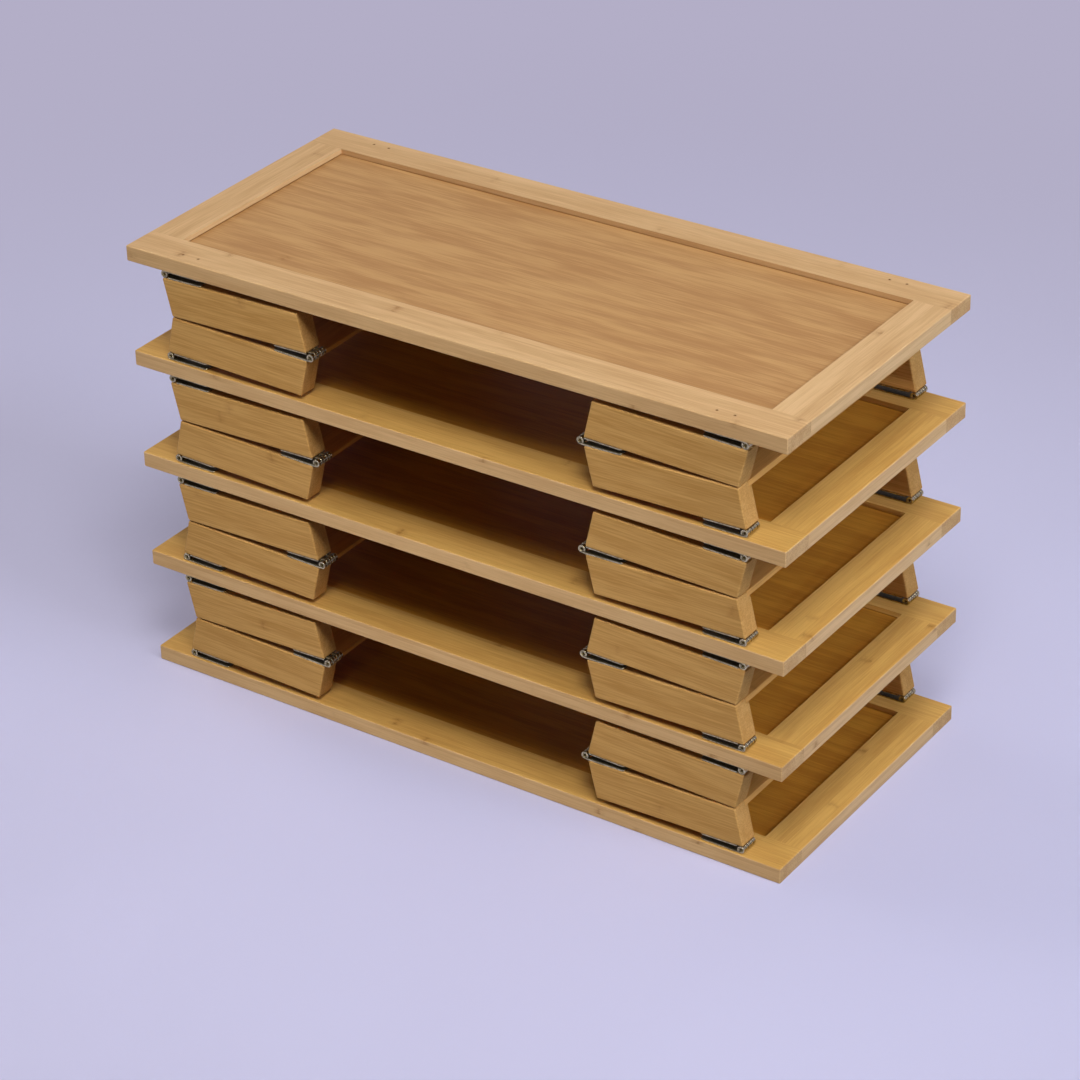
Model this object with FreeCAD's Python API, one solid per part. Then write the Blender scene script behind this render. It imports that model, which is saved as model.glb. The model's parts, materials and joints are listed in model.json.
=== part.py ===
import FreeCAD, Part
import math
import os

from FreeCAD import Placement, Rotation, Vector

# Folding bamboo shelf, folded down as in the photograph.
#
# Five framed shelves lie one above the other. Each tier between two shelves has four legs, and each leg is a
# lower and an upper half that fold at a knee. X runs along the shelves, Y from front to back, Z up, and the
# origin is under the middle of the bottom shelf. Lengths are in millimetres, angles in degrees.

# Shelves
TIERS = 4
SHELF_LENGTH = 680.0
SHELF_DEPTH = 306.0
SHELF_THICKNESS = 15.0
SHELF_EDGE_ROUND = 1.2
RAIL_WIDTH = 36.0
STILE_WIDTH = 36.0
PANEL_THICKNESS = 5.0
PANEL_RECESS = 5.0  # from the frame's top face down to the panel
GROOVE_DEPTH = 8.0
GROOVE_PLAY = 0.2  # room above a panel or tenon in its groove
EXPANSION_GAP = 0.5  # room at the bottom of a groove
TENON_SHOULDER = 8.0  # from the shelf's end to the tenon

# Half-legs
LEG_LENGTH = 150.0
LEG_WIDTH = 36.5
LEG_THICKNESS = 20.0
LEG_LEAN = 12.0  # how far the ends are cut from square, and the open leg leans outwards
LEG_SETBACK = 1.5  # from the front or back edge of the shelf
LEG_EDGE_ROUND = 1.6
FOLDED_GAP = 0.6  # between the outer ends of two halves when folded
STOP_GAP = 0.3  # between a leg's end and the shelf when open
KNEE_OVERHANG = 3.2  # from the leg's inner end to the knee pin

# Side panels between the front and back lower half-legs
SIDE_PANEL_THICKNESS = 5.0
SIDE_PANEL_LAP = 5.0  # width of the rabbet in the leg
SIDE_PANEL_EDGE_ROUND = 0.6

# Hinges
BARREL_DIAMETER = 7.2
BARREL_CLEARANCE = 0.3  # from the barrel to the wood
KNUCKLES = 5
KNUCKLE_GAP = 0.2
LEAF_THICKNESS = 1.4
LEAF_REACH = 41.0  # from the pin to the end of the leaf
LEAF_CORNER_ROUND = 3.0
LEAF_MARGIN = 0.5  # from the side of the leg to the leaf
SWING_CLEARANCE = 0.4  # from a leaf's notch to the other leaf's knuckle
PIN_CLEARANCE = 0.05
PIN_RECESS = 0.6  # from the end of the barrel to the end of the pin

# Hinge screws
SCREW_DIAMETER = 2.8
SCREW_HEAD_DIAMETER = 5.4
SCREW_END_MARGIN = 8.5  # from the end of the leaf to the nearest screw
SCREW_SPACING = 17.0
SCREW_TIP_LENGTH = 2.5
SCREW_TIP_GAP = 2.0  # between the tips of two screws that face each other in one shelf
SCREW_CLEARANCE = 0.05
RECESS_WIDTH = 0.7
RECESS_SPAN = 2.6
RECESS_DEPTH = 0.7
TIP_MARK_DIAMETER = 1.6  # small holes above the hinge screws of the top shelf

# Sizes that follow from those above
SHELF_COUNT = TIERS + 1
LEAN = math.radians(LEG_LEAN)
BARREL_RADIUS = BARREL_DIAMETER / 2
BORE_RADIUS = BARREL_RADIUS - LEAF_THICKNESS
PIN_RADIUS = BORE_RADIUS - PIN_CLEARANCE
PIN_OFFSET = BARREL_RADIUS + BARREL_CLEARANCE
HINGE_WIDTH = LEG_THICKNESS - 2 * LEAF_MARGIN
KNUCKLE_PITCH = HINGE_WIDTH / KNUCKLES
SCREW_PLACES = (LEAF_REACH - SCREW_END_MARGIN - SCREW_SPACING, LEAF_REACH - SCREW_END_MARGIN)
SCREW_DEPTH = (SHELF_THICKNESS - SCREW_TIP_GAP) / 2
PANEL_FLOOR = SHELF_THICKNESS - PANEL_RECESS - PANEL_THICKNESS
TONGUE = GROOVE_DEPTH - EXPANSION_GAP
INNER_X = SHELF_LENGTH / 2 - STILE_WIDTH
INNER_Y = SHELF_DEPTH / 2 - RAIL_WIDTH
TENON_X = SHELF_LENGTH / 2 - TENON_SHOULDER
LEG_Y = SHELF_DEPTH / 2 - LEG_SETBACK - LEG_THICKNESS / 2

# A half-leg lies along its own x axis, with its shelf pin at the origin and its knee pin at KNEE_X, KNEE_Z.
HEEL = -(PIN_OFFSET - STOP_GAP - PIN_OFFSET * math.sin(LEAN)) / math.cos(LEAN)
SHEAR = LEG_WIDTH * math.tan(LEAN)
LEG_LOW = PIN_OFFSET
LEG_HIGH = PIN_OFFSET + LEG_WIDTH
KNEE_X = HEEL + LEG_LENGTH + SHEAR + KNEE_OVERHANG
KNEE_Z = LEG_WIDTH + 2 * PIN_OFFSET

# Folded, each half tips until the two outer ends are FOLDED_GAP apart.
KNEE_RUN = KNEE_X - HEEL - SHEAR
TILT = math.atan2(PIN_OFFSET, KNEE_RUN) - math.asin(FOLDED_GAP / 2 / math.hypot(KNEE_RUN, PIN_OFFSET))
KNEE_REST_X = KNEE_X * math.cos(TILT) + KNEE_Z * math.sin(TILT)
KNEE_REST_Z = KNEE_Z * math.cos(TILT) - KNEE_X * math.sin(TILT)
OPEN_ANGLE = 90.0 + LEG_LEAN + math.degrees(TILT)

# Open, the outer corner of a leg's end is level with the end of the shelf.
PIN_INSET = PIN_OFFSET * math.cos(LEAN) + HEEL * math.sin(LEAN) + LEG_WIDTH / math.cos(LEAN)
PIN_X = SHELF_LENGTH / 2 - PIN_INSET
SHELF_PITCH = SHELF_THICKNESS + 2 * (PIN_OFFSET + KNEE_REST_Z)

X_AXIS = Vector(1, 0, 0)
Y_AXIS = Vector(0, 1, 0)
Z_AXIS = Vector(0, 0, 1)
HERE = Vector(0, 0, 0)
TURN_OVER = Placement(HERE, Rotation(X_AXIS, 180))
TURN_ROUND = Placement(HERE, Rotation(Z_AXIS, 180))


def block(x, y, z):
    """A box between the (low, high) pairs x, y and z."""
    return Part.makeBox(x[1] - x[0], y[1] - y[0], z[1] - z[0], Vector(x[0], y[0], z[0]))


def span(half):
    """The pair from -half to half."""
    return (-half, half)


def rounded(solid, radius):
    """The solid with all its edges rounded."""
    return solid.makeFillet(radius, solid.Edges)


def moved(shapes, *placements):
    """Copies of the shapes, put through the placements from the last to the first."""
    place = Placement()
    for step in placements:
        place = place.multiply(step)
    copies = []
    for shape in shapes:
        copy = shape.copy()
        copy.Placement = place.multiply(copy.Placement)
        copies.append(copy)
    return copies


def at(x, y, z):
    """A plain move."""
    return Placement(Vector(x, y, z), Rotation())


# Hinge pieces. The pin lies along y through the origin; the leaf runs along +x on wood that ends at -PIN_OFFSET.


def knuckle_span(index):
    """The y range of one knuckle, without the gap to its neighbours."""
    start = -HINGE_WIDTH / 2 + index * KNUCKLE_PITCH
    first = start if index == 0 else start + KNUCKLE_GAP / 2
    last = start + KNUCKLE_PITCH if index == KNUCKLES - 1 else start + KNUCKLE_PITCH - KNUCKLE_GAP / 2
    return (first, last)


def cylinder_along_y(radius, y):
    return Part.makeCylinder(radius, y[1] - y[0], Vector(0, y[0], 0), Y_AXIS)


def screw_hole():
    """The countersunk hole in a leaf, about the z axis, with the outer face of the leaf at zero."""
    head = SCREW_HEAD_DIAMETER / 2 + SCREW_CLEARANCE
    neck = SCREW_DIAMETER / 2 + SCREW_CLEARANCE
    cone = Part.makeCone(neck, head, LEAF_THICKNESS, Vector(0, 0, -LEAF_THICKNESS))
    return cone


def hinge_leaf(has_end_knuckles):
    """One leaf with its rolled knuckles: the even ones with the two ends, or the odd ones between them."""
    plate = block((0, LEAF_REACH), span(HINGE_WIDTH / 2), (-PIN_OFFSET, LEAF_THICKNESS - PIN_OFFSET))
    corners = [
        edge
        for edge in plate.Edges
        if edge.BoundBox.XMin > LEAF_REACH / 2 and edge.BoundBox.ZLength > LEAF_THICKNESS / 2
    ]
    leaf = plate.makeFillet(LEAF_CORNER_ROUND, corners)
    notch_x = BARREL_RADIUS + SWING_CLEARANCE
    own = []
    for index in range(KNUCKLES):
        first, last = knuckle_span(index)
        if (index % 2 == 0) == has_end_knuckles:
            own.append(cylinder_along_y(BARREL_RADIUS, (first, last)))
        else:
            room = (first - KNUCKLE_GAP, last + KNUCKLE_GAP)
            leaf = leaf.cut(block((-1, notch_x), room, (-2 * PIN_OFFSET, 0)))
    leaf = leaf.fuse(own).removeSplitter()
    leaf = leaf.cut(cylinder_along_y(BORE_RADIUS, span(HINGE_WIDTH)))
    for x in SCREW_PLACES:
        leaf = leaf.cut(moved([screw_hole()], at(x, 0, LEAF_THICKNESS - PIN_OFFSET))[0])
    return leaf.Solids[0]


def hinge_pin():
    return cylinder_along_y(PIN_RADIUS, span(HINGE_WIDTH / 2 - PIN_RECESS))


def screw():
    """A countersunk screw about the z axis, its head flush with zero."""
    neck = SCREW_DIAMETER / 2
    shank_end = -(LEAF_THICKNESS + SCREW_DEPTH - SCREW_TIP_LENGTH)
    head = Part.makeCone(neck, SCREW_HEAD_DIAMETER / 2, LEAF_THICKNESS, Vector(0, 0, -LEAF_THICKNESS))
    shank = Part.makeCylinder(neck, -LEAF_THICKNESS - shank_end, Vector(0, 0, shank_end))
    tip = Part.makeCone(0, neck, SCREW_TIP_LENGTH, Vector(0, 0, shank_end - SCREW_TIP_LENGTH))
    body = head.fuse([shank, tip]).removeSplitter()
    depth = (-RECESS_DEPTH, 1)
    across = block(span(RECESS_SPAN / 2), span(RECESS_WIDTH / 2), depth)
    along = block(span(RECESS_WIDTH / 2), span(RECESS_SPAN / 2), depth)
    return body.cut(across.fuse(along)).Solids[0]


def leaf_screws():
    return [moved([SCREW], at(x, 0, LEAF_THICKNESS - PIN_OFFSET))[0] for x in SCREW_PLACES]


def pilot_holes():
    """What a leaf's screws take out of the wood."""
    radius = SCREW_DIAMETER / 2 + SCREW_CLEARANCE
    holes = []
    for x in SCREW_PLACES:
        start = Vector(x, 0, -PIN_OFFSET - SCREW_DEPTH - SCREW_CLEARANCE)
        holes.append(Part.makeCylinder(radius, SCREW_DEPTH + SCREW_CLEARANCE, start))
    return holes


def tip_marks():
    """Small holes on from the pilot holes, through to the far face of the shelf."""
    low = -PIN_OFFSET - SHELF_THICKNESS
    holes = []
    for x in SCREW_PLACES:
        holes.append(Part.makeCylinder(TIP_MARK_DIAMETER / 2, SHELF_THICKNESS, Vector(x, 0, low)))
    return holes


SCREW = screw()
OUTER_LEAF = hinge_leaf(True)
INNER_LEAF = hinge_leaf(False)
PIN = hinge_pin()
OUTER_SET = [OUTER_LEAF, PIN] + leaf_screws()
INNER_SET = [INNER_LEAF] + leaf_screws()


# Half-legs, each along its own x axis with y across its thickness


def leg_profile(low, high, y, radius):
    """A bar with the leg's slanted ends between two heights, extruded over the y range."""
    shear = math.tan(LEAN)
    corners = []
    for x, z in ((HEEL, low), (HEEL + LEG_LENGTH, low), (HEEL + LEG_LENGTH, high), (HEEL, high)):
        corners.append(Vector(x + (z - LEG_LOW) * shear, y[0], z))
    outline = Part.makePolygon(corners + corners[:1])
    return rounded(Part.Face(outline).extrude(Vector(0, y[1] - y[0], 0)), radius)


SHELF_END = TURN_OVER
KNEE_END = at(KNEE_X, 0, KNEE_Z).multiply(TURN_ROUND)


def plain_leg():
    """A half-leg with its pilot holes at both ends."""
    leg = leg_profile(LEG_LOW, LEG_HIGH, span(LEG_THICKNESS / 2), LEG_EDGE_ROUND)
    for hole in moved(pilot_holes(), SHELF_END) + moved(pilot_holes(), KNEE_END):
        leg = leg.cut(hole)
    return leg.Solids[0]


def rabbeted_leg(inside):
    """A half-leg with a rabbet for the side panel on the side that inside, +1 or -1, points to."""
    edge = LEG_THICKNESS / 2 - SIDE_PANEL_LAP
    y = (edge, LEG_THICKNESS) if inside > 0 else (-LEG_THICKNESS, -edge)
    x = (HEEL - LEG_LENGTH, 2 * LEG_LENGTH)
    z = (LEG_HIGH - SIDE_PANEL_THICKNESS, LEG_HIGH + LEG_WIDTH)
    return plain_leg().cut(block(x, y, z)).Solids[0]


def side_panel():
    """The thin panel that lies in the rabbets of the front and back legs."""
    reach = LEG_Y - LEG_THICKNESS / 2 + SIDE_PANEL_LAP
    low = LEG_HIGH - SIDE_PANEL_THICKNESS
    return leg_profile(low, LEG_HIGH, span(reach), SIDE_PANEL_EDGE_ROUND)


# Shelves, with the underside at zero


def shelf_block():
    outline = block(span(SHELF_LENGTH / 2), span(SHELF_DEPTH / 2), (0, SHELF_THICKNESS))
    return rounded(outline, SHELF_EDGE_ROUND)


def groove_height():
    return (PANEL_FLOOR, PANEL_FLOOR + PANEL_THICKNESS + GROOVE_PLAY)


def shelf_rails(holes):
    """The front and back rails, grooved for the panel and the stile tenons, and drilled."""
    rails = []
    for side in (-1, 1):
        y = sorted((side * INNER_Y, side * SHELF_DEPTH))
        rail = shelf_block().common(block(span(SHELF_LENGTH), y, (-1, SHELF_THICKNESS + 1)))
        groove = sorted((side * (INNER_Y - 1), side * (INNER_Y + GROOVE_DEPTH)))
        rail = rail.cut(block(span(TENON_X), groove, groove_height()))
        for hole in holes:
            if hole.BoundBox.Center.y * side > 0:
                rail = rail.cut(hole)
        rails.append(rail.Solids[0])
    return rails


def shelf_stiles():
    """The left and right stiles, with a tenon at each end and a groove for the panel."""
    stiles = []
    for side in (-1, 1):
        x = sorted((side * INNER_X, side * SHELF_LENGTH))
        stile = shelf_block().common(block(x, span(INNER_Y), (-1, SHELF_THICKNESS + 1)))
        tenon_x = sorted((side * INNER_X, side * (TENON_X - GROOVE_PLAY)))
        tenon_z = (PANEL_FLOOR, PANEL_FLOOR + PANEL_THICKNESS)
        stile = stile.fuse(block(tenon_x, span(INNER_Y + TONGUE), tenon_z)).removeSplitter()
        groove = sorted((side * (INNER_X - 1), side * (INNER_X + GROOVE_DEPTH)))
        stile = stile.cut(block(groove, span(SHELF_DEPTH), groove_height()))
        stiles.append(stile.Solids[0])
    return stiles


def shelf_panel():
    return block(
        span(INNER_X + TONGUE), span(INNER_Y + TONGUE), (PANEL_FLOOR, PANEL_FLOOR + PANEL_THICKNESS)
    )


# Where things stand


def both_sides(shapes):
    """The shapes of the left end and their copies at the right end."""
    return shapes + moved(shapes, TURN_ROUND)


def top_hinge_places():
    """The left hinges on a shelf's top face."""
    return [at(-PIN_X, y, SHELF_THICKNESS + PIN_OFFSET) for y in (-LEG_Y, LEG_Y)]


def under_hinge_places():
    """The left hinges under a shelf."""
    return [at(-PIN_X, y, -PIN_OFFSET).multiply(TURN_OVER) for y in (-LEG_Y, LEG_Y)]


def on_places(shapes, places):
    copies = []
    for place in places:
        copies.extend(moved(shapes, place))
    return copies


def write(name, solids, z):
    """Writes one node, raised by z."""
    Part.makeCompound(moved(solids, at(0, 0, z))).exportStep(f"parts/{name}.step")


def write_shelf(number):
    """Shelf 1 is the bottom one. It has no hinges below, and the top one has none above."""
    name = f"shelf_{number}"
    base = (number - 1) * SHELF_PITCH
    places = []
    marks = []
    if number > 1:
        places += under_hinge_places()
    if number < SHELF_COUNT:
        places += top_hinge_places()
    else:
        marks = on_places(tip_marks(), under_hinge_places())
    holes = on_places(pilot_holes(), places) + marks
    write(f"{name}_rails", shelf_rails(both_sides(holes)), base)
    write(f"{name}_stiles", shelf_stiles(), base)
    write(f"{name}_panel", [shelf_panel()], base)
    write(f"{name}_hinge_hardware", both_sides(on_places(OUTER_SET, places)), base)


def write_tier(number):
    """The folding legs between shelf number and the one above it."""
    base = (number - 1) * SHELF_PITCH + SHELF_THICKNESS + PIN_OFFSET
    tilted = Placement(HERE, Rotation(Y_AXIS, math.degrees(TILT)))
    front, back = at(0, -LEG_Y, 0), at(0, LEG_Y, 0)
    lower_place = at(-PIN_X, 0, base).multiply(tilted)
    upper_place = at(-PIN_X, 0, base + 2 * KNEE_REST_Z).multiply(TURN_OVER).multiply(tilted)
    shelf_end_set = moved(INNER_SET, SHELF_END)
    lower_hinges = shelf_end_set + moved(OUTER_SET, KNEE_END)
    upper_hinges = shelf_end_set + moved(INNER_SET, KNEE_END)
    lower = {
        "lower_legs": moved([rabbeted_leg(1)], front) + moved([rabbeted_leg(-1)], back),
        "side_panel": [side_panel()],
        "lower_hinge_hardware": on_places(lower_hinges, (front, back)),
    }
    upper = {
        "upper_legs": on_places([plain_leg()], (front, back)),
        "upper_hinge_hardware": on_places(upper_hinges, (front, back)),
    }
    for pieces, place in ((lower, lower_place), (upper, upper_place)):
        for piece, solids in pieces.items():
            left = moved(solids, place)
            write(f"tier_{number}_left_{piece}", left, 0)
            write(f"tier_{number}_right_{piece}", moved(left, TURN_ROUND), 0)


def main():
    os.makedirs("parts", exist_ok=True)
    for number in range(1, SHELF_COUNT + 1):
        write_shelf(number)
    for number in range(1, TIERS + 1):
        write_tier(number)


main()
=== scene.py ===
"""Folding bamboo shelf, folded down: wood finishes, modelled hinges, stage and camera.

The construction model is loaded as a fixed frame. Its wood keeps its shape and gets its finish here. The
hinges are modelled anew, with rolled leaves, hollow pins and cross-head screws, and copied to every place
where a half-leg meets a shelf or its other half. Lengths are in metres, in the frame of the construction
model.
"""

import json
import math

import bmesh
import bpy
from bpy.props import FloatProperty, FloatVectorProperty, IntProperty, PointerProperty
from mathutils import Euler, Matrix, Vector

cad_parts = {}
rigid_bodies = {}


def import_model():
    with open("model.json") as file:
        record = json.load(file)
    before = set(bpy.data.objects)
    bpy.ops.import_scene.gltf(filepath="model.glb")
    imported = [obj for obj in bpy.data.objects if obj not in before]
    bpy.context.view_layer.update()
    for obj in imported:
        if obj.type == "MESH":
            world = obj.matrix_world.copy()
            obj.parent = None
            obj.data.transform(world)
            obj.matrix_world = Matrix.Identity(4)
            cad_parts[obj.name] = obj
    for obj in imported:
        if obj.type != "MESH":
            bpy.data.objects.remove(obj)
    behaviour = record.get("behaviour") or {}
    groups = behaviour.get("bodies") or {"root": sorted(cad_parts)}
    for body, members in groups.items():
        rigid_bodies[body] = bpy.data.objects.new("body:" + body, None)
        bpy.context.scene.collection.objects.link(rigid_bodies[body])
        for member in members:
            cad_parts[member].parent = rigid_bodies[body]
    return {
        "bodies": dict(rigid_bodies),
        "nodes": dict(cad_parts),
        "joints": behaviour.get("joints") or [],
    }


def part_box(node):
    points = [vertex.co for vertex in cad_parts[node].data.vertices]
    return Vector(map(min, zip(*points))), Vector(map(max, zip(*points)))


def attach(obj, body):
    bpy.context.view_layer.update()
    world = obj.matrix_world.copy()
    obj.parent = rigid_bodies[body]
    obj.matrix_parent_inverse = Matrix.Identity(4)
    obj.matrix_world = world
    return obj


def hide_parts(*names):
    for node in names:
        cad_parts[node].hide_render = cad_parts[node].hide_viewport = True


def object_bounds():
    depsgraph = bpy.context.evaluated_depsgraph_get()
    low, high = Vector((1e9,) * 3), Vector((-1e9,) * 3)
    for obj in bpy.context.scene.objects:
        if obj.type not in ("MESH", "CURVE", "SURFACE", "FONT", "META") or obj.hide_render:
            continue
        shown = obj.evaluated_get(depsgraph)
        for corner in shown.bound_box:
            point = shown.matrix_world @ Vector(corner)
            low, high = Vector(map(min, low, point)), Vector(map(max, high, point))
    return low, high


bl_info = {
    "name": "Folding bamboo shelf",
    "version": (1, 0, 0),
    "blender": (4, 5, 0),
    "location": "3D View > Sidebar > Shelf",
    "description": "Finishes a folding bamboo shelf and models its hinges",
    "category": "Object",
}

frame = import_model()
CAD_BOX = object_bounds()

JOINTS = {joint["name"]: joint for joint in frame["joints"]}
SHELF_COUNT = sum(name.startswith("shelf_") for name in frame["bodies"])
TIERS = range(1, SHELF_COUNT)
SIDES = {"left": Matrix.Identity(4), "right": Matrix.Rotation(math.pi, 4, "Z")}

# How far the ends of a half-leg are cut from square, in degrees. The rest of the fold's travel beyond
# 90 degrees is the tilt of the folded leg.
LEG_LEAN = 12.0
LEG_TILT = math.radians(JOINTS["tier_1_fold"]["range_deg"][1] - 90.0 - LEG_LEAN)

TURN_OVER = Matrix.Rotation(math.pi, 4, "X")
TURN_ROUND = Matrix.Rotation(math.pi, 4, "Z")
TILTED = Matrix.Rotation(LEG_TILT, 4, "Y")


# Properties


def length(name, description, millimetres):
    """A length that is given in millimetres and kept in metres."""
    return FloatProperty(
        name=name, description=description, default=millimetres / 1000, min=0.0, precision=5, unit="LENGTH"
    )


def metres(name, description, value):
    return FloatProperty(name=name, description=description, default=value, min=0.0, unit="LENGTH")


def watts(name, description, value):
    return FloatProperty(name=name, description=description, default=value, min=0.0, unit="POWER")


def angle(name, description, degrees):
    radians = math.radians(degrees)
    return FloatProperty(name=name, description=description, default=radians, subtype="ANGLE")


def amount(name, description, value):
    return FloatProperty(name=name, description=description, default=value, min=0.0)


def linear(code):
    """The linear red, green and blue of a colour code with two hexadecimal digits for each."""
    parts = [int(code[i : i + 2], 16) / 255 for i in (0, 2, 4)]
    return tuple(p / 12.92 if p <= 0.04045 else ((p + 0.055) / 1.055) ** 2.4 for p in parts)


def colour(name, description, code):
    return FloatVectorProperty(
        name=name, description=description, default=linear(code), min=0.0, max=1.0, subtype="COLOR"
    )


class GrainSizes(bpy.types.PropertyGroup):
    """Sizes, strengths and colours of the figure that all the bamboo shares."""

    strip_width: length("Strip width", "Width of one bamboo strip in a board", 11.5)
    layer_thickness: length("Layer thickness", "Thickness of one layer of strips", 6.2)
    streak_length: length("Streak length", "How long the light and dark streaks are", 50.0)
    streak_width: length("Streak width", "How wide the light and dark streaks are", 1.7)
    cloud_length: length("Cloud length", "How long the broad pale and dark patches are", 110.0)
    cloud_width: length("Cloud width", "How wide the broad pale and dark patches are", 15.0)
    fibre_length: length("Fibre length", "How long the fine fibres are", 22.0)
    fibre_width: length("Fibre width", "How wide the fine fibres are", 0.5)
    node_spacing: length("Node spacing", "From one node of the bamboo stem to the next", 290.0)
    node_line: length("Node line", "Half the width of a node's dark line", 2.6)
    node_halo: length("Node halo", "How far a node tints the wood beside it", 9.0)
    wave_length: length("Wave length", "How long the waves of a node's line are along the grain", 10.0)
    wave_width: length("Wave width", "How wide the waves of a node's line are", 4.0)
    wave_reach: length("Wave reach", "How far a node's line waves along the grain", 4.0)
    blotch_length: length("Blotch length", "How long the blotches of a node are", 6.0)
    blotch_width: length("Blotch width", "How wide the blotches of a node are", 3.0)
    glue_line: length("Glue line", "Half the width of the seam between two strips", 0.22)
    # Painted shadow: a dark line stands for the shade where a panel enters its groove
    groove_shadow_line: length("Groove line", "Width of the dark line where a panel enters its frame", 2.2)
    # Painted shade stays off the upright faces this near the outer edge of a lower shelf
    unshaded_rim_width: length("Rim width", "Outer edge of a lower shelf that stays paler than the rest", 5.0)
    tip_mark: length("Tip mark", "Radius of the mark that a screw tip leaves in the top", 2.0)
    tip_rise: length("Tip rise", "From the middle of a board up to where tip marks show fully", 2.0)
    bundle_spacing: length("Bundle spacing", "Between the dark dots of the end grain", 0.9)
    bump_depth: length("Bump depth", "Depth of fibres and seams", 0.2)
    bump: amount("Bump", "How much the depth of fibres and seams shows", 0.22)
    roughness: amount("Roughness", "Roughness of the lacquer", 0.52)
    node_strength: amount("Node strength", "How dark the line of a node is", 0.2)
    halo_strength: amount("Halo strength", "How dark the wood beside a node is", 0.3)
    seam_strength: amount("Seam strength", "How dark the seams between strips are", 0.3)
    groove_shadow_strength: amount("Groove strength", "How dark the line round a panel is", 0.75)
    tip_strength: amount("Tip strength", "How dark the marks of screw tips are", 0.7)
    end_strength: amount("End strength", "How dark the end grain is between its dots", 0.18)
    bundle_strength: amount("Bundle strength", "How much darker the dots of the end grain are", 0.4)
    node_colour: colour("Node colour", "Dark line across a strip at a node", "94622f")
    # This colour paints that shadow line round a panel, and also colours the real marks of screw tips
    groove_shadow_and_tip_colour: colour("Groove colour", "Dark line round a panel and marks of screw tips", "754508")
    glue_colour: colour("Glue colour", "Seam between two strips", "9a6a35")
    end_colour: colour("End grain colour", "Dots and tint of the end grain", "8f5f30")


# Names and descriptions of the settings that each wood has for its figure
STREAKS = ("Streaks", "Contrast of the streaks")
CLOUDS = ("Clouds", "Contrast of the broad patches")
FIBRES = ("Fibres", "Contrast of the fine fibres")
STRIPS = ("Strips", "How far strips differ in tone")
NODES = ("Nodes", "Share of nodes that show")


class FrameWood(bpy.types.PropertyGroup):
    """Pale bamboo of the rails and stiles."""

    pale: colour("Pale", "Light streaks of the shelf frames", "e0b885")
    dark: colour("Dark", "Dark streaks of the shelf frames", "c89c69")
    # Painted shade: the lower tint stands for the warm, dimmer light under the shelf above, not a colour
    # of the wood
    lower: colour("Lower shelves", "Tint of the shelves below the top one", "fff4bc")
    streak: amount(*STREAKS, 1.5)
    cloud: amount(*CLOUDS, 1.1)
    fibre: amount(*FIBRES, 0.4)
    strip: amount(*STRIPS, 0.35)
    nodes: amount(*NODES, 0.55)


class PanelWood(bpy.types.PropertyGroup):
    """Darker veneer of the panels in the frames."""

    pale: colour("Pale", "Light streaks of the shelf panels", "c89a63")
    dark: colour("Dark", "Dark streaks of the shelf panels", "b2824f")
    # Painted shade: the lower tint stands for the warm, dimmer light under the shelf above, not a colour
    # of the veneer
    lower: colour("Lower shelves", "Tint of the shelves below the top one", "ffe888")
    streak: amount(*STREAKS, 2.3)
    cloud: amount(*CLOUDS, 2.4)
    fibre: amount(*FIBRES, 0.55)
    strip: amount(*STRIPS, 0.12)
    nodes: amount(*NODES, 0.08)


class LegWood(bpy.types.PropertyGroup):
    """Honey-coloured bamboo of the half-legs."""

    pale: colour("Pale", "Light streaks of the legs", "d3a361")
    dark: colour("Dark", "Dark streaks of the legs", "bb8a49")
    streak: amount(*STREAKS, 2.4)
    cloud: amount(*CLOUDS, 1.2)
    fibre: amount(*FIBRES, 0.4)
    strip: amount(*STRIPS, 0.3)
    nodes: amount(*NODES, 0.35)


class SidePanelWood(bpy.types.PropertyGroup):
    """Thin bamboo of the panels between front and back legs."""

    pale: colour("Pale", "Light streaks of the side panels", "d69f58")
    dark: colour("Dark", "Dark streaks of the side panels", "bc8642")
    streak: amount(*STREAKS, 1.3)
    cloud: amount(*CLOUDS, 1.1)
    fibre: amount(*FIBRES, 0.5)
    strip: amount(*STRIPS, 0.25)
    nodes: amount(*NODES, 0.3)


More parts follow.
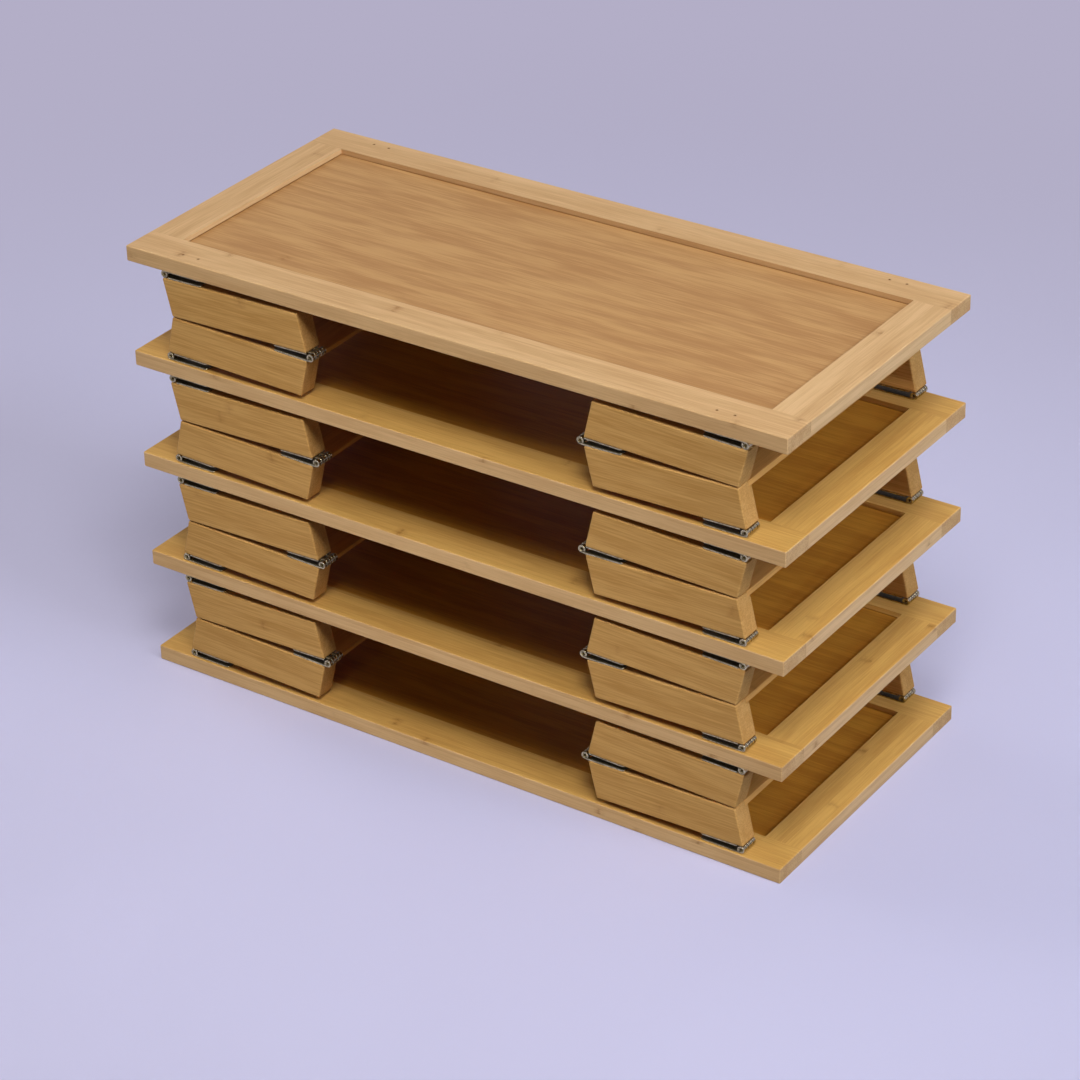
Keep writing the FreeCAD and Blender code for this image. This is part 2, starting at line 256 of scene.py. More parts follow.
class HingeSizes(bpy.types.PropertyGroup):
    """Sizes and colours of one hinge. The pin lies along y and a leaf reaches along x."""

    width: length("Width", "Length of the barrel", 19.0)
    pin_offset: length("Pin offset", "From the wood to the middle of the pin", 3.9)
    barrel_diameter: length("Barrel diameter", "Across the rolled knuckles", 7.2)
    leaf_thickness: length("Leaf thickness", "Sheet that the leaves are stamped from", 1.4)
    leaf_reach: length("Leaf reach", "From the pin to the end of the leaf", 41.0)
    leaf_corner: length("Leaf corner", "Radius of the leaf's two corners", 3.0)
    leaf_edge: length("Leaf edge", "Rounding of the leaf's stamped edges", 0.42)
    notch_reach: length("Notch reach", "From the pin to the bottom of a notch", 4.0)
    knuckles: IntProperty(name="Knuckles", description="Rolled eyes in one barrel", default=5, min=3)
    knuckle_gap: length("Knuckle gap", "Between neighbouring knuckles", 0.8)
    roll: angle("Roll", "How far round the pin a knuckle is rolled", 306.0)
    pin_diameter: length("Pin diameter", "Across the pin", 4.3)
    pin_recess: length("Pin recess", "From the end of the barrel to the end of the pin", 0.6)
    pin_bore: length("Pin bore", "Across the hollow in the end of the pin", 2.9)
    pin_bore_depth: length("Pin bore depth", "Depth of the hollow in the end of the pin", 2.6)
    pin_edge: length("Pin edge", "Rounding of the end of the pin", 0.3)
    screw_first: length("First screw", "From the pin to the first screw", 15.5)
    screw_second: length("Second screw", "From the pin to the second screw", 32.5)
    screw_diameter: length("Screw diameter", "Across the shank", 2.8)
    screw_head: length("Screw head", "Across the countersunk head", 5.4)
    screw_play: length("Screw play", "Between a head and its countersink", 0.2)
    screw_shank: length("Screw shank", "Length of the straight shank in the wood", 4.0)
    screw_tip: length("Screw tip", "Length of the point", 2.5)
    cross_span: length("Cross span", "Length of the cross in a head", 2.9)
    cross_width: length("Cross width", "Width of the cross in a head", 0.75)
    cross_depth: length("Cross depth", "Depth of the cross in a head", 0.7)
    drawn_length: length("Drawn length", "How long the drawing lines in the sheet are", 12.0)
    drawn_width: length("Drawn width", "How wide the drawing lines in the sheet are", 0.22)
    bright_steel: colour("Bright steel", "Plated steel where it is clean", "cfc49c")
    dull_steel: colour("Dull steel", "Plated steel where it has dulled", "7a7152")


class StageSetting(bpy.types.PropertyGroup):
    """Floor, light and camera."""

    floor_size: metres("Floor size", "Side of the floor", 40.0)
    floor_colour: colour("Floor colour", "Pale floor", "dad7f5")
    floor_cloud: amount("Floor clouds", "How bright its clouds are against the rest", 0.97)
    fade_start: metres("Fade start", "From the shelf to where the floor begins to fade", 0.5)
    fade_end: metres("Fade end", "From the shelf to where the floor looks like the sky", 1.7)
    fade_least: amount("Least fade", "How far the floor has faded beside the shelf", 0.3)
    sky_colour: colour("Sky colour", "Background and far floor", "b3aec7")
    bounce_colour: colour("Bounce colour", "What the floor throws back at the shelf", "8a8890")
    sky_light: amount("Sky light", "Strength of the soft light from all round", 0.03)
    lamp_distance: metres("Lamp distance", "Shelf to lamps", 3.4)
    key_power: watts("Key power", "Steep lamp in front", 57.0)
    right_power: watts("Right power", "Lamp on the right", 48.0)
    left_power: watts("Left power", "Lamp on the left", 38.0)
    front_power: watts("Front power", "Low lamp in front", 1.75)
    end_power: watts("End power", "Low lamp on the right", 1.8)
    back_power: watts("Back power", "Low lamp behind", 1.9)
    azimuth: angle("Azimuth", "Camera's turn round the shelf", 34.730)
    elevation: angle("Elevation", "Camera's height above the horizon", 29.961)
    roll: angle("Roll", "Camera's tilt to one side", -1.265)
    distance: metres("Distance", "Camera to target", 3.2026)
    lens: FloatProperty(name="Lens", description="Focal length in millimetres", default=117.515)
    target: FloatVectorProperty(
        name="Target",
        description="What the camera looks at",
        default=(-0.0067, 0.0, 0.1572),
        subtype="XYZ",
    )


# Finishes


class Signal:
    """One socket of a finish. A formula on signals adds the Math nodes that work it out."""

    def __init__(self, socket):
        self.socket = socket

    def node(self, kind, settings, inputs, output=0):
        """Adds a node to this finish, sets it, fills or links its inputs and gives one of its outputs."""
        tree = self.socket.id_data
        made = tree.nodes.new(kind)
        for name, value in settings.items():
            setattr(made, name, value)
        for key, value in inputs.items():
            if isinstance(value, Signal):
                tree.links.new(value.socket, made.inputs[key])
            else:
                made.inputs[key].default_value = value
        return Signal(made.outputs[output])

    def math(self, operation, first, second=0.0):
        return self.node("ShaderNodeMath", {"operation": operation}, {0: first, 1: second})

    def __add__(self, other):
        return self.math("ADD", self, other)

    __radd__ = __add__

    def __sub__(self, other):
        return self.math("SUBTRACT", self, other)

    def __rsub__(self, other):
        return self.math("SUBTRACT", other, self)

    def __mul__(self, other):
        return self.math("MULTIPLY", self, other)

    __rmul__ = __mul__

    def __truediv__(self, other):
        return self.math("DIVIDE", self, other)

    def __abs__(self):
        return self.math("ABSOLUTE", self)

    def floor(self):
        return self.math("FLOOR", self)

    def least(self, other):
        return self.math("MINIMUM", self, other)

    def fade(self, start, end):
        """Rises smoothly from 0 at start to 1 at end."""
        limits = {"Value": self, "From Min": start, "From Max": end}
        return self.node("ShaderNodeMapRange", {"interpolation_type": "SMOOTHSTEP"}, limits)

    def blend(self, first, second):
        """The first colour where this is 0 and the second where it is 1."""
        colours = {0: self, 6: opaque(first), 7: opaque(second)}
        return self.node("ShaderNodeMix", {"data_type": "RGBA"}, colours, 2)

    def tinted(self, first, tint):
        """The first colour, times the tint where this is 1."""
        settings = {"data_type": "RGBA", "blend_type": "MULTIPLY"}
        return self.node("ShaderNodeMix", settings, {0: self, 6: opaque(first), 7: opaque(tint)}, 2)

    def split(self):
        """The three parts of a vector or colour."""
        parts = self.node("ShaderNodeSeparateXYZ", {}, {0: self}).socket.node
        return [Signal(output) for output in parts.outputs]

    def chance(self):
        """Three random amounts that belong to this number."""
        noise = {"noise_dimensions": "1D"}
        return self.node("ShaderNodeTexWhiteNoise", noise, {"W": self}, "Color").split()


def opaque(value):
    """A plain colour with full alpha, or a signal as it is."""
    return value if isinstance(value, Signal) else (*value, 1.0)


def new_finish(name):
    """A new material, with its shader and its texture coordinates."""
    material = bpy.data.materials.new(name)
    material.use_nodes = True
    nodes = material.node_tree.nodes
    return material, nodes["Principled BSDF"], nodes.new("ShaderNodeTexCoord")


def connect(signal, shader, socket):
    """Feeds one input of the shader."""
    signal.socket.id_data.links.new(signal.socket, shader.inputs[socket])


def stretched(axes, shift, long, wide, detail):
    """Noise drawn out along the grain, with features about that long and that wide."""
    along, across, deep = axes
    place = {0: along / long + shift, 1: across / wide, 2: deep / wide}
    vector = along.node("ShaderNodeCombineXYZ", {}, place)
    settings = {"Vector": vector, "Scale": 1.0, "Detail": detail, "Roughness": 0.6}
    return along.node("ShaderNodeTexNoise", {}, settings)


# Uneven steps that give every board, bar and node of the bamboo a random number of its own
BOARD_STEP = 3.71
LANE_STEP = 7.13
LAYER_STEP = 31.7
BAR_STEP = 1.7
RING_STEP = 5.3

# How far a pattern slides from one board or bar to the next, counted in its own features
LANE_SLIDE = 0.377
STREAK_SLIDE = 9.0
CLOUD_SLIDE = 0.1
FIBRE_SLIDE = 30.0
BLOTCH_SLIDE = 3.0

# Where a pattern goes from nothing to all
TONE_RANGE = (-0.1, 1.1)
BLOTCH_RANGE = (0.35, 0.65)
BUNDLE_RANGE = (0.15, 0.45)

# From a face along the grain to one that is all end grain, and from an upright face to a level one
END_RANGE = (0.6, 0.9)
LEVEL_RANGE = (0.5, 0.9)

# No node is quite as lucky as this, so even the darkest stays a little faint
FULL_LUCK = 1.05

# What a node keeps of its strength outside its blotches
LEAST_BLOTCH = 0.4

# Share of a tip mark's radius that is dark all over
TIP_CORE = 0.3

# The pattern of bundles is squeezed to this share along the grain, which makes the bundles long
BUNDLE_SQUEEZE = 0.05

# What fibres, nodes and end grain add to the roughness
FIBRE_ROUGHNESS = 0.2
NODE_ROUGHNESS = 0.1
END_ROUGHNESS = 0.15

# How deep seams and bundles are, next to the fibres
SEAM_DEPTH = 0.6
BUNDLE_DEPTH = 0.5

# Specular level of the lacquer
LACQUER_SHINE = 0.2


class BambooBoard:
    """The figure of a laminated board, as signals that its colour, roughness and bump are made from.

    The turn brings the grain to the pattern's x axis, about the middle. The seed sets boards apart.
    """

    def __init__(self, coordinates, wood, turn, middle, seed):
        self.grain = bpy.context.scene.shelf_grain
        self.wood = wood
        self.seed = seed
        self.surface = Signal(coordinates.outputs["Object"])
        self.facing = Signal(coordinates.outputs["Normal"])
        shift = -(Euler(turn).to_matrix() @ middle)
        mapping = {"Vector": self.surface, "Location": shift, "Rotation": turn}
        self.place = self.surface.node("ShaderNodeMapping", {}, mapping)
        self.axes = self.place.split()
        self.lay_bars()
        self.fibres = self.noise("fibre", self.bar_shift * FIBRE_SLIDE, detail=2.0)
        self.nodes = self.stem_nodes()
        self.seams = self.glued_seams()
        self.end = self.end_faces(turn)
        self.bundles = self.fibre_bundles()

    def noise(self, kind, shift, detail):
        """Noise with the grain's length and width of a streak, cloud, fibre, wave or blotch."""
        long = getattr(self.grain, f"{kind}_length")
        wide = getattr(self.grain, f"{kind}_width")
        return stretched(self.axes, shift, long, wide, detail)

    def lay_bars(self):
        """Long bars, strip_width by layer_thickness, each with its own tone and shift of the pattern."""
        _, across, deep = self.axes
        self.lane = across / self.grain.strip_width + self.seed * LANE_SLIDE
        self.layer = deep / self.grain.layer_thickness + 0.5
        self.lane_index = self.lane.floor()
        self.layer_index = self.layer.floor()
        self.bar = self.lane_index * LANE_STEP + self.layer_index * LAYER_STEP + self.seed * BOARD_STEP
        self.bar_tone, self.bar_shift, _ = self.bar.chance()

    def stem_nodes(self):
        """A wavy dark line across a strip with a warm tint beside it, on some strips only."""
        grain = self.grain
        ring = self.axes[0] / grain.node_spacing + self.bar_shift
        ring_index = ring.floor()
        luck = (self.bar * BAR_STEP + ring_index * RING_STEP).chance()[0]
        shown = luck.fade(1.0 - self.wood.nodes, FULL_LUCK)
        wave = self.noise("wave", self.bar_shift, detail=1.0)
        from_node = abs(ring - ring_index - 0.5) * grain.node_spacing + (wave - 0.5) * grain.wave_reach
        line = 1.0 - from_node.fade(0.0, grain.node_line)
        halo = 1.0 - from_node.fade(0.0, grain.node_halo)
        blotch = self.noise("blotch", self.bar_shift * BLOTCH_SLIDE, detail=2.0).fade(*BLOTCH_RANGE)
        return shown * (line * grain.node_strength + halo * grain.halo_strength) * (LEAST_BLOTCH + blotch)

    def glued_seams(self):
        """1 in the seams between the bars, and 0 beside them."""
        lane_edge = (0.5 - abs(self.lane - self.lane_index - 0.5)) * self.grain.strip_width
        layer_edge = (0.5 - abs(self.layer - self.layer_index - 0.5)) * self.grain.layer_thickness
        return 1.0 - lane_edge.least(layer_edge).fade(0.0, self.grain.glue_line)

    def end_faces(self, turn):
        """1 on faces that cut across the fibres."""
        mapping = {"Vector": self.facing, "Rotation": turn}
        turned = self.facing.node("ShaderNodeMapping", {"vector_type": "VECTOR"}, mapping)
        return abs(turned.split()[0]).fade(*END_RANGE)

    def fibre_bundles(self):
        """1 in the bundles of fibres that show as dark dots in the end grain."""
        squeeze = {0: self.place, 1: (BUNDLE_SQUEEZE, 1.0, 1.0)}
        drawn = self.place.node("ShaderNodeVectorMath", {"operation": "MULTIPLY"}, squeeze)
        cells = {"Vector": drawn, "Scale": 1.0 / self.grain.bundle_spacing}
        return 1.0 - self.place.node("ShaderNodeTexVoronoi", {}, cells).fade(*BUNDLE_RANGE)

    def streaked(self):
        """Pale and dark wood, in streaks, broad clouds, fine fibres and bars."""
        wood = self.wood
        streaks = self.noise("streak", self.bar_shift * STREAK_SLIDE, detail=3.0)
        clouds = self.noise("cloud", self.seed * CLOUD_SLIDE, detail=2.0)
        tone = (
            0.5
            + (streaks - 0.5) * wood.streak
            + (clouds - 0.5) * wood.cloud
            + (self.fibres - 0.5) * wood.fibre
            + (self.bar_tone - 0.5) * wood.strip
        )
        return tone.fade(*TONE_RANGE).blend(wood.dark, wood.pale)

    def grooved(self, shade, opening):
        """The shadow line where a panel enters its groove, along the edge of the opening."""
        along, across, _ = self.axes
        inside = (opening[0] - abs(along)).least(opening[1] - abs(across))
        shadow = 1.0 - inside.fade(0.0, self.grain.groove_shadow_line)
        return (shadow * self.grain.groove_shadow_strength).blend(shade, self.grain.groove_shadow_and_tip_colour)

    def tip_marked(self, shade, tip):
        """The mark of a screw tip on the upper side, and its mirror images."""
        along, across, deep = self.axes
        folded = along.node("ShaderNodeCombineXYZ", {}, {0: abs(along), 1: abs(across), 2: 0.0})
        ends = {0: folded, 1: (*tip, 0.0)}
        gap = along.node("ShaderNodeVectorMath", {"operation": "DISTANCE"}, ends, "Value")
        spot = 1.0 - gap.fade(self.grain.tip_mark * TIP_CORE, self.grain.tip_mark)
        smudge = spot * deep.fade(0.0, self.grain.tip_rise)
        return (smudge * self.grain.tip_strength).blend(shade, self.grain.groove_shadow_and_tip_colour)

    def with_painted_shade(self, shade, tint):
        """Painted shade: the tint stands for the warm, dimmer light under the shelf above, and lies on
        everything but the upright faces at the outer edges of the shelf.
        """
        x, y, _ = self.surface.split()
        from_rim = (CAD_BOX[1].x - abs(x)).least(CAD_BOX[1].y - abs(y))
        upright = 1.0 - abs(self.facing.split()[2]).fade(*LEVEL_RANGE)
        edge = upright.least(1.0 - from_rim.fade(0.0, self.grain.unshaded_rim_width))
        return (1.0 - edge).tinted(shade, tint)

    def roughness(self):
        lacquer = self.grain.roughness + (self.fibres - 0.5) * FIBRE_ROUGHNESS
        return lacquer + self.nodes * NODE_ROUGHNESS + self.end * END_ROUGHNESS

    def bump(self):
        sides = (self.fibres - 0.5) * (1.0 - self.end)
        height = sides - self.seams * SEAM_DEPTH - self.end * self.bundles * BUNDLE_DEPTH
        settings = {"Strength": self.grain.bump, "Distance": self.grain.bump_depth, "Height": height}
        return height.node("ShaderNodeBump", {}, settings)


def bamboo(name, wood, turn, middle, seed, tint=None, opening=None, tips=()):
    """Lacquered laminated bamboo.

    A tint paints shade on a board: the warm, dimmer light under the shelf above, on all but its outer
    upright faces. A panel has a painted shadow line along the edge of its opening, given as half its
    length and width. Screw tips mark the upper side of a board at the places given, and at their mirror
    images.
    """
    material, shader, coordinates = new_finish(name)
    board = BambooBoard(coordinates, wood, turn, middle, seed)
    grain = board.grain
    shade = board.nodes.blend(board.streaked(), grain.node_colour)
    shade = (board.seams * grain.seam_strength).blend(shade, grain.glue_colour)
    # Painted shadow line where the panel enters its groove
    if opening:
        shade = board.grooved(shade, opening)
    for tip in tips:
        shade = board.tip_marked(shade, tip)
    ends = board.end * (board.bundles * grain.bundle_strength + grain.end_strength)
    shade = ends.blend(shade, grain.end_colour)
    # Painted shade of the lower shelves: a warm tint for the light under the shelf above
    if tint:
        shade = board.with_painted_shade(shade, tint)
    connect(shade, shader, "Base Color")
    connect(board.roughness(), shader, "Roughness")
    connect(board.bump(), shader, "Normal")
    shader.inputs["Specular IOR Level"].default_value = LACQUER_SHINE
    return material


# Plated steel: shares of mottle and drawing lines in its wear, and from bright to dull
MOTTLE_SHARE = 0.7
LINE_SHARE = 0.5
DULL_RANGE = (0.45, 0.85)

# From a rounded edge to a flat face, and how much duller and darker a flat face is: partly dulled zinc,
# partly painted shade of the narrow gaps that the flats face in the hinge
FLAT_RANGE = (0.95, 0.995)
FLAT_SHADE_AND_DULLNESS = 0.8

# Roughness of bright steel, and what dull and flat places add to it
BRIGHT_ROUGHNESS = 0.13
DULL_ROUGHNESS = 0.16
FLAT_ROUGHNESS = 0.25


def plated_steel():
    """Yellow-passivated zinc on steel: mottled and finely drawn, bright at edges, and dull and darker on
    the flats, partly dulled zinc and partly painted shade of the hinge gaps.
    """
    sizes = bpy.context.scene.shelf_hinges
    material, shader, coordinates = new_finish("plated_steel")
    surface = Signal(coordinates.outputs["Object"])
    spots = {"Vector": surface, "Scale": 420.0, "Detail": 4.0}
    mottle = surface.node("ShaderNodeTexNoise", {}, spots)
    lines = stretched(surface.split(), 0.0, sizes.drawn_length, sizes.drawn_width, detail=2.0)
    flat = abs(Signal(coordinates.outputs["Normal"]).split()[2]).fade(*FLAT_RANGE)
    worn = (mottle * MOTTLE_SHARE + lines * LINE_SHARE).fade(*DULL_RANGE)
    # Flat faces are partly painted shade: their darker colour stands for the shade in the hinge gaps
    dull = (worn + flat * FLAT_SHADE_AND_DULLNESS).least(1.0)
    connect(dull.blend(sizes.bright_steel, sizes.dull_steel), shader, "Base Color")
    connect(BRIGHT_ROUGHNESS + dull * DULL_ROUGHNESS + flat * FLAT_ROUGHNESS, shader, "Roughness")
    bump = {"Strength": 0.07, "Distance": 0.0001, "Height": lines}
    connect(lines.node("ShaderNodeBump", {}, bump), shader, "Normal")
    shader.inputs["Metallic"].default_value = 1.0
    return material


def dress(node, material):
    """Gives a node of the construction model its finish."""
    slots = frame["nodes"][node].material_slots
    for slot in slots:
        slot.material = material


def painted_shelf_shade(wood, number):
    """None for the top shelf, and for the others the wood's tint, which paints the warm shade under the
    shelf above.
    """
    return None if number == SHELF_COUNT else wood.lower


def nearest(node, axis):
    """How near a node of the construction model comes to the middle plane across an axis."""
    return min(abs(vertex.co[axis]) for vertex in frame["nodes"][node].data.vertices)


def node_middle(node):
    """The middle of a node's box."""
    low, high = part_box(node)
    return (low + high) / 2


# Grain directions: what turns the wood's grain to the pattern's own x axis, and its wide side to y

ALONG_X = (0.0, 0.0, 0.0)
ALONG_Y = (0.0, 0.0, -math.pi / 2)


def leg_turn(side, half):
    """The turn that lays a folded half-leg's pattern flat, with its width along the pattern's y axis."""
    slope = LEG_TILT if (side == "left") == (half == "lower") else -LEG_TILT
    return tuple((Matrix.Rotation(-math.pi / 2, 3, "X") @ Matrix.Rotation(-slope, 3, "Y")).to_euler())


# Modelling

# How finely round shapes are modelled
ROUND_SIDES = 20
SCREW_SIDES = 14
ROLL_STEPS = 22
CORNER_STEPS = 5
LEAF_EDGE_STEPS = 3
PIN_EDGE_STEPS = 2

# Edges sharper than the first are rounded, and faces that meet at less than the second are shaded as one
SHARP_EDGE = math.radians(40)
SMOOTH_ANGLE = math.radians(35)

# A face this far out in a shape is its end, and points closer than this are one
NEARLY = 0.99
SAME_PLACE = 0.00001

# How far a cutter reaches past each side of what it cuts, and how wide a cross is at its foot, as shares
OVERSHOOT = 0.1
CROSS_TAPER = 0.6


def start_fresh():
    """Object mode with nothing selected."""
    if bpy.context.object and bpy.context.object.mode != "OBJECT":
        bpy.ops.object.mode_set(mode="OBJECT")
    bpy.ops.object.select_all(action="DESELECT")


def edit(kind):
    """Edit mode on the active object, with nothing selected, for VERT, EDGE or FACE."""
    bpy.ops.object.mode_set(mode="EDIT")
    bpy.ops.mesh.select_mode(type=kind)
    bpy.ops.mesh.select_all(action="DESELECT")


def pick(parts, test):
    """Selects the vertices, edges or faces of the mesh in edit mode whose middle passes the test."""
    mesh = bmesh.from_edit_mesh(bpy.context.object.data)
    for part in getattr(mesh, parts):
        corners = [part] if parts == "verts" else part.verts
        middle = sum((corner.co for corner in corners), Vector()) / len(corners)
        part.select_set(test(middle))
    bmesh.update_edit_mesh(bpy.context.object.data)


def cut_at(place, normal):
    """Cuts the whole mesh along a plane and keeps both sides."""
    bpy.ops.mesh.select_all(action="SELECT")
    bpy.ops.mesh.bisect(plane_co=place, plane_no=normal)
    bpy.ops.mesh.select_all(action="DESELECT")


def finish_with(kind, **settings):
    """Adds a modifier to the active object and applies it."""
    bpy.ops.object.modifier_add(type=kind)
    modifier = bpy.context.object.modifiers[-1]
    for name, value in settings.items():
        setattr(modifier, name, value)
    bpy.ops.object.modifier_apply(modifier=modifier.name)


def settle():
    """Puts the place, turn and scale of what is selected into its mesh."""
    bpy.ops.object.transform_apply(location=True, rotation=True, scale=True)


def round_edges(width, steps):
    """Rounds the sharp edges of the active object and shades it smooth."""
    finish_with("BEVEL", width=width, segments=steps, limit_method="ANGLE", angle_limit=SHARP_EDGE)
    bpy.ops.object.shade_smooth_by_angle(angle=SMOOTH_ANGLE)


def carve(model, cutter):
    """Takes the cutter's shape out of the model."""
    start_fresh()
    bpy.context.view_layer.objects.active = model
    model.select_set(True)
    finish_with("BOOLEAN", operation="DIFFERENCE", solver="EXACT", object=cutter)
    bpy.data.objects.remove(cutter)


def knuckle_spans(has_end_knuckles):
    """The y ranges of a leaf's own knuckles: every other one, with or without the two ends."""
    sizes = bpy.context.scene.shelf_hinges
    pitch = sizes.width / sizes.knuckles
    spans = []
    for index in range(0 if has_end_knuckles else 1, sizes.knuckles, 2):
        first = index * pitch - sizes.width / 2
        last = first + pitch
        gap = sizes.knuckle_gap / 2
        spans.append((first + gap * (index > 0), last - gap * (index < sizes.knuckles - 1)))
    return spans


def screw_reaches():
    """From the pin to the two screws of a leaf."""
    sizes = bpy.context.scene.shelf_hinges
    return sizes.screw_first, sizes.screw_second


def model_leaf(has_end_knuckles):
    """A stamped leaf whose tongues are rolled round the pin."""
    sizes = bpy.context.scene.shelf_hinges
    half_sheet = sizes.leaf_thickness / 2
    level = half_sheet - sizes.pin_offset
    start_fresh()
    bpy.ops.mesh.primitive_plane_add(size=1.0, location=(sizes.leaf_reach / 2, 0.0, level))
    leaf = bpy.context.object
    leaf.scale = (sizes.leaf_reach, sizes.width, 1.0)
    settle()

    edit("VERT")
    pick("verts", lambda p: p.x > sizes.leaf_reach / 2)
    bpy.ops.mesh.bevel(offset=sizes.leaf_corner, segments=CORNER_STEPS, affect="VERTICES")
    spans = knuckle_spans(has_end_knuckles)
    for side in sorted({y for span in spans for y in span}):
        if abs(side) < sizes.width / 2 - SAME_PLACE:
            cut_at((0.0, side, 0.0), (0.0, 1.0, 0.0))
    cut_at((sizes.notch_reach, 0.0, 0.0), (1.0, 0.0, 0.0))

    def in_tongue(y):
        return any(first < y < last for first, last in spans)

    bpy.ops.mesh.select_mode(type="FACE")
    pick("faces", lambda p: p.x < sizes.notch_reach and not in_tongue(p.y))
    bpy.ops.mesh.delete(type="FACE")
    bpy.ops.mesh.select_mode(type="EDGE")
    pick("edges", lambda p: p.x < SAME_PLACE)
    bpy.ops.transform.translate(value=(0.0, 0.0, half_sheet - sizes.barrel_diameter / 2 - level))
    bpy.ops.mesh.spin(steps=ROLL_STEPS, angle=-sizes.roll, center=(0.0, 0.0, 0.0), axis=(0.0, 1.0, 0.0))
    bpy.ops.mesh.select_all(action="SELECT")
    bpy.ops.mesh.remove_doubles(threshold=SAME_PLACE)
    bpy.ops.mesh.normals_make_consistent(inside=False)
    bpy.ops.object.mode_set(mode="OBJECT")
    finish_with("SOLIDIFY", thickness=sizes.leaf_thickness, offset=0.0, use_even_offset=True)
    for x in screw_reaches():
        carve(leaf, countersink(x, level))
    round_edges(sizes.leaf_edge, LEAF_EDGE_STEPS)
    return leaf


def countersink(x, level):
    """The cone that a screw head takes out of a leaf, a little longer than the leaf is thick."""
    sizes = bpy.context.scene.shelf_hinges
    neck = sizes.screw_diameter / 2 + sizes.screw_play
    head = sizes.screw_head / 2 + sizes.screw_play
    flare = (head - neck) * OVERSHOOT
    start_fresh()
    bpy.ops.mesh.primitive_cone_add(
        vertices=ROUND_SIDES,
        radius1=neck - flare,
        radius2=head + flare,
        depth=sizes.leaf_thickness * (1 + 2 * OVERSHOOT),
        location=(x, 0.0, level),
    )
    return bpy.context.object


def model_pin():
    """A pin with rounded, hollow ends."""
    sizes = bpy.context.scene.shelf_hinges
    half = sizes.width / 2 - sizes.pin_recess
    start_fresh()
    bpy.ops.mesh.primitive_cylinder_add(
        vertices=ROUND_SIDES,
        radius=sizes.pin_diameter / 2,
        depth=2 * half,
        rotation=(math.pi / 2, 0.0, 0.0),
    )
    pin = bpy.context.object
    settle()
    edit("FACE")
    for side in (-1, 1):
        bpy.ops.mesh.select_all(action="DESELECT")
        pick("faces", lambda p: p.y * side > half * NEARLY)
        bpy.ops.mesh.inset(thickness=(sizes.pin_diameter - sizes.pin_bore) / 2)
        bpy.ops.mesh.extrude_region_move(
            TRANSFORM_OT_translate={"value": (0.0, -side * sizes.pin_bore_depth, 0.0)}
        )
    bpy.ops.object.mode_set(mode="OBJECT")
    round_edges(sizes.pin_edge, PIN_EDGE_STEPS)
    return pin


def model_screw():
    """A countersunk screw about the z axis, with the top of its cross-head at zero."""
    sizes = bpy.context.scene.shelf_hinges
    start_fresh()
    bpy.ops.mesh.primitive_cone_add(
        vertices=SCREW_SIDES,
        radius1=sizes.screw_diameter / 2,
        radius2=sizes.screw_head / 2,
        depth=sizes.leaf_thickness,
        location=(0.0, 0.0, -sizes.leaf_thickness / 2),
    )
    screw = bpy.context.object
    settle()
    edit("FACE")
    pick("faces", lambda p: p.z < -sizes.leaf_thickness * NEARLY)
    bpy.ops.mesh.extrude_region_move(TRANSFORM_OT_translate={"value": (0.0, 0.0, -sizes.screw_shank)})
    bpy.ops.mesh.extrude_region_move(TRANSFORM_OT_translate={"value": (0.0, 0.0, -sizes.screw_tip)})
    bpy.ops.mesh.merge(type="CENTER")
    bpy.ops.object.mode_set(mode="OBJECT")
    for turn in (0.0, math.pi / 2):
        carve(screw, cross_bar(turn))
    bpy.ops.object.shade_smooth_by_angle(angle=SMOOTH_ANGLE)
    return screw


def cross_bar(turn):
    """One bar of the cross in a screw head, narrower at its foot."""
    sizes = bpy.context.scene.shelf_hinges
    start_fresh()
    bpy.ops.mesh.primitive_cube_add(size=1.0, location=(0.0, 0.0, 0.0), rotation=(0.0, 0.0, turn))
    bar = bpy.context.object
    bar.scale = (sizes.cross_span, sizes.cross_width, 2 * sizes.cross_depth)
    settle()
    edit("FACE")
    pick("faces", lambda p: p.z < -sizes.cross_depth * NEARLY)
    bpy.ops.transform.resize(value=(CROSS_TAPER, CROSS_TAPER, 1.0))
    bpy.ops.object.mode_set(mode="OBJECT")
    return bar


def leg_middle():
    """How far the middle of a front or back leg is from the middle of the shelf."""
    legs = "tier_1_left_upper_legs"
    return (nearest(legs, 1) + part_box(legs)[1].y) / 2


def hinge_places():
    """For each body, the (placement, has_end_knuckles) of its hinge leaves."""
    places = {body: [] for body in frame["bodies"]}
    for tier in TIERS:
        for side, turn in SIDES.items():
            for y in (-leg_middle(), leg_middle()):
                at = []
                for joint in ("fold", "left_knee_hinge", "left_top_hinge"):
                    x, _, z = JOINTS[f"tier_{tier}_{joint}"]["pos_m"]
                    at.append(turn @ Matrix.Translation((x, y, z)))
                base, knee, top = at
                lower = places[f"tier_{tier}_{side}_lower"]
                upper = places[f"tier_{tier}_{side}_upper"]
                places[f"shelf_{tier}"].append((base, True))
                lower.append((base @ TILTED @ TURN_OVER, False))
                lower.append((knee @ TILTED @ TURN_ROUND, True))
                upper.append((knee @ TURN_OVER @ TILTED @ TURN_ROUND, False))
                upper.append((top @ TURN_OVER @ TILTED @ TURN_OVER, False))
                places[f"shelf_{tier + 1}"].append((top @ TURN_OVER, True))
    return places


def hardware_node(body):
    """The node of the construction model that holds a body's hinge leaves, pins and screws."""
    return f"{body}_hinge_hardware"


